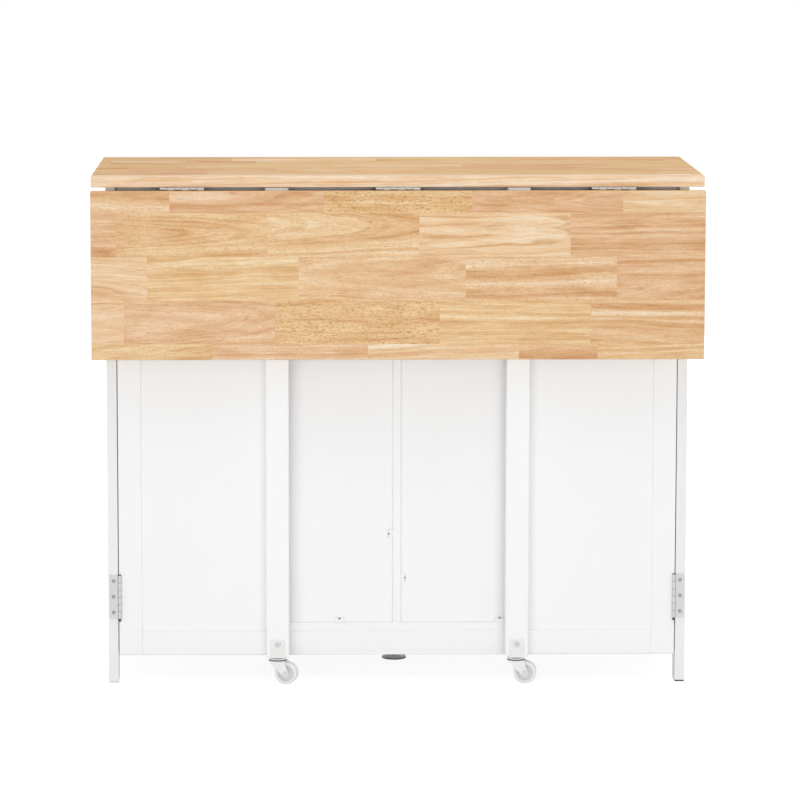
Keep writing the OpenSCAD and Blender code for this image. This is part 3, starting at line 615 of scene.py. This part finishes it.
# %% Worktop and leaf
top_middle = (top_low.z + top_high.z) / 2
leaf_middle = (leaf_low.y + leaf_high.y) / 2
hanging = Matrix.Rotation(-math.pi / 2, 4, "X")

worktop = staved_board("worktop_staves", top_rows, seed=11,
                       to_world=Matrix.Translation((top_low.x, top_low.y, top_middle)))
leaf = staved_board("leaf_staves", leaf_rows, seed=23,
                    to_world=Matrix.Translation((leaf_low.x, leaf_middle, leaf_high.z)) @ hanging)
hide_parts("worktop")
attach(worktop, "cabinet")
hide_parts("drop_leaf")
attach(leaf, "leaf")

# %% [markdown]
# ## Screws
# The CAD screws are plain: a cone or a cap on a shank. The ones here have a cross recess. Each
# CAD screw says where its own stand-in goes. On a countersunk screw the largest flat is the top
# of the head; on a round-headed one it is the head's underside, and a clip's screw is a plain
# peg whose two ends are alike, but which faces the back of the cabinet. The screws are taken in
# the order of the mesh's faces, so that each one is set in the same way in every run.

# %% Where the screws are
peg_radius = mm(3)       # a clip's screw is thinner than this
dome_radius = mm(5)      # and a round head is at least as wide as this


def solids(node):
    """The loose solids of a CAD node, each as a list of (normal, area, corners) of its faces."""
    mesh = bmesh.new()
    mesh.from_mesh(nodes[node].data)
    bmesh.ops.remove_doubles(mesh, verts=mesh.verts[:], dist=1e-6)
    seen = set()
    for first in mesh.faces:
        solid = []
        queue = [first]
        while queue:
            face = queue.pop()
            if face not in seen:
                seen.add(face)
                solid.append((face.normal.copy(), face.calc_area(), [v.co.copy() for v in face.verts]))
                queue += [near for side in face.edges for near in side.link_faces]
        if solid:
            yield solid
    mesh.free()


def seat(solid):
    """The top of a screw's head, the way it faces and its head's radius."""
    flats = {}
    for normal, area, _ in solid:
        key = tuple(round(n, 2) + 0.0 for n in normal)
        flats[key] = flats.get(key, 0.0) + area
    facing = Vector(max(flats, key=flats.get)).normalized()
    points = [point for face in solid for point in face[2]]
    middle = sum(points, Vector()) / len(points)
    radius = max((point - middle).cross(facing).length for point in points)
    if radius > dome_radius or (radius < peg_radius and facing.y > 0):
        facing = -facing
    height = max((point - middle).dot(facing) for point in points)
    return middle + facing * height, facing, radius


screw_nodes = {"cabinet_screws": "cabinet", "leaf_screws": "leaf", "left_gate_screws": "left_gate",
               "right_gate_screws": "right_gate"}
seats = {node: [seat(solid) for solid in solids(node)] for node in screw_nodes}
for node, places in seats.items():
    radii = sorted({round(radius * 1000, 1) for _, _, radius in places})
    print(node, len(places), "screws, head radii in mm", radii)

# %% [markdown]
# A screw is a profile turned round its axis, with its head's top at the origin. The recess is cut
# out of it by a cross whose four arms narrow towards the bottom.

# %% A countersunk and a round-headed screw
arm_length_left = 0.3    # shares of an arm's length and width that are left at its bottom
arm_width_left = 0.6
over_head = 0.6          # millimetres by which the cutter stands over the head

# radius and height of each corner, in millimetres, from the head's top to the shank's end
flat_profile = [(0, -0.2), (2.0, -0.22), (2.5, -0.35), (2.65, -0.65), (1.6, -2.0), (1.6, -11.5),
                (0, -12.9)]
round_profile = [(0, 0), (2, -0.15), (3.8, -0.65), (5.2, -1.35), (5.9, -1.9), (5.9, -2.0),
                 (1.9, -2.0), (1.9, -16), (0, -17.9)]


def turned(name, profile, steps=32):
    """A closed solid of revolution about Z from (radius, height) pairs in millimetres."""
    mesh = bmesh.new()
    rings = []
    for radius, height in profile:
        if radius == 0:
            rings.append([mesh.verts.new(mm(0, 0, height))])
        else:
            turns = [2 * math.pi * i / steps for i in range(steps)]
            rings.append([mesh.verts.new(mm(radius * math.cos(a), radius * math.sin(a), height))
                          for a in turns])
    for upper, lower in zip(rings, rings[1:]):
        for i in range(steps):
            corners = [upper[i % len(upper)], lower[i % len(lower)], lower[(i + 1) % len(lower)],
                       upper[(i + 1) % len(upper)]]
            mesh.faces.new(dict.fromkeys(corners))
    bmesh.ops.recalc_face_normals(mesh, faces=mesh.faces[:])
    return put_in_scene(name, as_mesh_data(mesh, name))


def cross(name, reach, width, depth):
    """The cutter for a cross recess: two tapered bars, joined."""
    mesh = bmesh.new()
    for turn in (0, math.pi / 2):
        bar = bmesh.ops.create_cube(mesh, size=1.0)["verts"]
        for corner in bar:
            x, y, z = corner.co
            if z < 0:
                corner.co = mm(x * 2 * reach * arm_length_left, y * width * arm_width_left, -depth)
            else:
                corner.co = mm(x * 2 * reach, y * width, over_head)
        bmesh.ops.rotate(mesh, verts=bar, matrix=Matrix.Rotation(turn, 3, "Z"))
    bmesh.ops.recalc_face_normals(mesh, faces=mesh.faces[:])
    return put_in_scene(name, as_mesh_data(mesh, name))


def plain_mesh(piece):
    """The piece's mesh as its modifiers leave it."""
    bpy.context.view_layer.update()
    return bpy.data.meshes.new_from_object(piece.evaluated_get(bpy.context.evaluated_depsgraph_get()))


def recessed(screw, cutter):
    """The screw's mesh with the cross cut out of its head. The two objects are removed."""
    cut = screw.modifiers.new("recess", "BOOLEAN")
    cut.operation = "DIFFERENCE"
    cut.object = cutter
    cut.solver = "EXACT"
    cut.use_self = True
    result = plain_mesh(screw)
    for piece in (screw, cutter):
        bpy.data.objects.remove(piece)
    for face in result.polygons:
        face.use_smooth = False
    return result


countersunk = recessed(turned("flat", flat_profile), cross("flat_cross", reach=1.9, width=1.1, depth=1.9))
round_head = recessed(turned("round", round_profile), cross("round_cross", reach=3.1, width=1.1, depth=1.9))
print("countersunk", len(countersunk.polygons), "faces; round head", len(round_head.polygons), "faces")

# %% [markdown]
# A Geometry Nodes tree puts a screw on every seat. A seat is one vertex with two attributes: the
# way it faces and its scale. Every screw stops at another angle, so a seeded random turn about
# its own axis comes in before the instances are made real.

# %% The tree that sets the screws
def screw_setter():
    tree = bpy.data.node_groups.new("set_screws", "GeometryNodeTree")
    sockets = (("Geometry", "NodeSocketGeometry", "INPUT"), ("Screw", "NodeSocketObject", "INPUT"),
               ("Metal", "NodeSocketMaterial", "INPUT"), ("Seed", "NodeSocketInt", "INPUT"),
               ("Geometry", "NodeSocketGeometry", "OUTPUT"))
    for name, kind, way in sockets:
        tree.interface.new_socket(name, in_out=way, socket_type=kind)
    given = add(tree, "NodeGroupInput").outputs
    screw = add(tree, "GeometryNodeObjectInfo", {"Object": given["Screw"]})
    facing = add(tree, "GeometryNodeInputNamedAttribute", {"Name": "facing"}, data_type="FLOAT_VECTOR")
    scale = add(tree, "GeometryNodeInputNamedAttribute", {"Name": "scale"}, data_type="FLOAT")
    upright = add(tree, "FunctionNodeAlignRotationToVector", {"Vector": facing.outputs["Attribute"]},
                  axis="Z")
    chance = add(tree, "FunctionNodeRandomValue", {1: (0.0, 0.0, math.pi), "Seed": given["Seed"]},
                 data_type="FLOAT_VECTOR")
    turn = add(tree, "FunctionNodeEulerToRotation", {0: chance.outputs[0]})
    turned_home = add(tree, "FunctionNodeRotateRotation", {0: upright.outputs[0], 1: turn.outputs[0]},
                      rotation_space="LOCAL")
    set_down = add(tree, "GeometryNodeInstanceOnPoints", {
        "Points": given["Geometry"], "Instance": screw.outputs["Geometry"],
        "Rotation": turned_home.outputs[0], "Scale": scale.outputs["Attribute"]})
    real = add(tree, "GeometryNodeRealizeInstances", {"Geometry": set_down.outputs[0]})
    dressed = add(tree, "GeometryNodeSetMaterial", {"Geometry": real.outputs[0], "Material": given["Metal"]})
    add(tree, "NodeGroupOutput", {"Geometry": dressed.outputs[0]})
    return tree


setter = screw_setter()
print(setter.name, [item.identifier for item in setter.interface.items_tree])

# %% [markdown]
# The tree runs once for each kind of screw on each body. Its result is kept as a plain mesh. The
# clips' small screws are dark, and the round heads on the casters are coated like their plates, a
# little greyer as painted shade round their edges and recess.

# %% The screws
full_size_radius = mm(3.4)   # a CAD head this wide or wider gets its screw at full size


def set_screws(name, mesh, places, finish, seed):
    """The mesh of one kind of screw on each of the places."""
    model = bpy.data.objects.new(name + "_model", mesh)
    data = bpy.data.meshes.new(name)
    data.from_pydata([place for place, _, _ in places], [], [])
    data.attributes.new("facing", "FLOAT_VECTOR", "POINT").data.foreach_set(
        "vector", [number for _, facing, _ in places for number in facing])
    data.attributes.new("scale", "FLOAT", "POINT").data.foreach_set(
        "value", [min(1.0, radius / full_size_radius) for _, _, radius in places])
    piece = put_in_scene(name, data)
    modifier = piece.modifiers.new("set_screws", "NODES")
    modifier.node_group = setter
    values = {"Screw": model, "Metal": finish, "Seed": seed}
    for item in setter.interface.items_tree:
        if item.in_out == "INPUT" and item.name in values:
            modifier[item.identifier] = values[item.name]
    result = plain_mesh(piece)
    bpy.data.objects.remove(piece)
    bpy.data.objects.remove(model)
    return result


screw_kinds = [  # the end of the piece's name, head radii in metres, screw, finish and slot
    ("turned", (peg_radius, dome_radius), countersunk, zinc, "zinc_steel"),
    ("pegs", (0.0, peg_radius), countersunk, pin_steel, "zinc_steel"),
    ("domed", (dome_radius, math.inf), round_head, screw_coat, "white_sheet_steel"),
]
for seed, (node, body) in enumerate(screw_nodes.items()):
    for ending, (low, high), model, finish, slot in screw_kinds:
        places = [place for place in seats[node] if low <= place[2] < high]
        if places:
            name = f"{node}_{ending}"
            piece = put_in_scene(name, set_screws(name, model, places, finish, seed))
            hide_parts(node)
            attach(piece, body)
            print(name, len(places), "screws,", len(piece.data.polygons), "faces")

# %% [markdown]
# ## Floor, backdrop and light
# The photograph was taken on a white sweep in soft light from all around. Light Path tells who
# looks at the floor. To the camera it glows white and adds a little of the light that falls on it,
# so it keeps the object's soft shadow. To the light on the object it is a plain pale floor.

# %% The white sweep
def looked_at(tree):
    """1 where the camera, a reflection or a clear piece looks, and 0 for the light on the object."""
    path = add(tree, "ShaderNodeLightPath").outputs
    either = add(tree, "ShaderNodeMath", {0: path["Is Camera Ray"], 1: path["Is Glossy Ray"]},
                 operation="MAXIMUM")
    return add(tree, "ShaderNodeMath", {0: either.outputs[0], 1: path["Is Transmission Ray"]},
               operation="MAXIMUM").outputs[0]


def sweep():
    material, tree, shader = new_material("white_sweep")
    shader.inputs["Base Color"].default_value = linear("#E6E6E6")
    shader.inputs["Roughness"].default_value = 0.9
    shader.inputs["Specular IOR Level"].default_value = 0.0
    seen = looked_at(tree)
    dim = add(tree, "ShaderNodeBsdfDiffuse", {"Color": linear("#9A9A9A")})
    glow = add(tree, "ShaderNodeEmission", {"Strength": 0.86})
    shown = add(tree, "ShaderNodeAddShader", {0: dim.outputs[0], 1: glow.outputs[0]})
    both = add(tree, "ShaderNodeMixShader", {0: seen, 1: shader.outputs[0], 2: shown.outputs[0]})
    tree.links.new(both.outputs[0], tree.nodes["Material Output"].inputs["Surface"])
    return material


bpy.ops.mesh.primitive_plane_add(size=60)
floor = bpy.context.object
floor.name = "floor"
floor.data.materials.append(sweep())
print("floor", round(floor.dimensions.x), "m wide")

# %% [markdown]
# The world is white to the camera too, at strength 1, and lights the object at half of that.

# %% The world
world = bpy.data.worlds.new("white_studio")
bpy.context.scene.world = world
world.use_nodes = True
studio = world.node_tree
studio.nodes.clear()
strength = between(studio, looked_at(studio), 0.0, 1.0, 0.5, 1.0)
sky = add(studio, "ShaderNodeBackground", {"Color": (1, 1, 1, 1), "Strength": strength})
add(studio, "ShaderNodeOutputWorld", {"Surface": sky.outputs[0]})
print("world", world.name)

# %% [markdown]
# A low wide lamp on each side gives the faces their level with little shade under the leaf, and
# one above lifts the worktop. Two of the lamps stay out of the reflections.

# %% Lamps
body_middle = (0, 0, 0.55)


def softbox(name, place, aim, width, height, watts):
    """An area lamp that looks from its place at its aim."""
    data = bpy.data.lights.new(name, "AREA")
    data.shape = "RECTANGLE"
    data.size = width
    data.size_y = height
    data.energy = watts
    lamp = put_in_scene(name, data)
    lamp.location = place
    lamp.rotation_euler = (Vector(aim) - Vector(place)).to_track_quat("-Z", "Y").to_euler()
    return lamp


front_box = softbox("front_box", (-0.3, -4.6, 0.75), body_middle, width=4.4, height=1.3, watts=82)
top_box = softbox("top_box", (0.2, -0.6, 3.9), (0, 0, 0.9), width=2.6, height=2.6, watts=50)
softbox("back_box", (1.8, 4.6, 0.95), body_middle, width=3.2, height=1.7, watts=95)
softbox("left_box", (-4.6, 0.4, 0.9), body_middle, width=2.4, height=1.6, watts=27)
softbox("right_box", (4.6, 0.4, 0.9), body_middle, width=2.4, height=1.6, watts=27)
front_box.visible_glossy = False
top_box.visible_glossy = False

# %% [markdown]
# The last step leaves the colours as they are worked out.

# %% Finish
bpy.context.scene.view_settings.view_transform = "Standard"
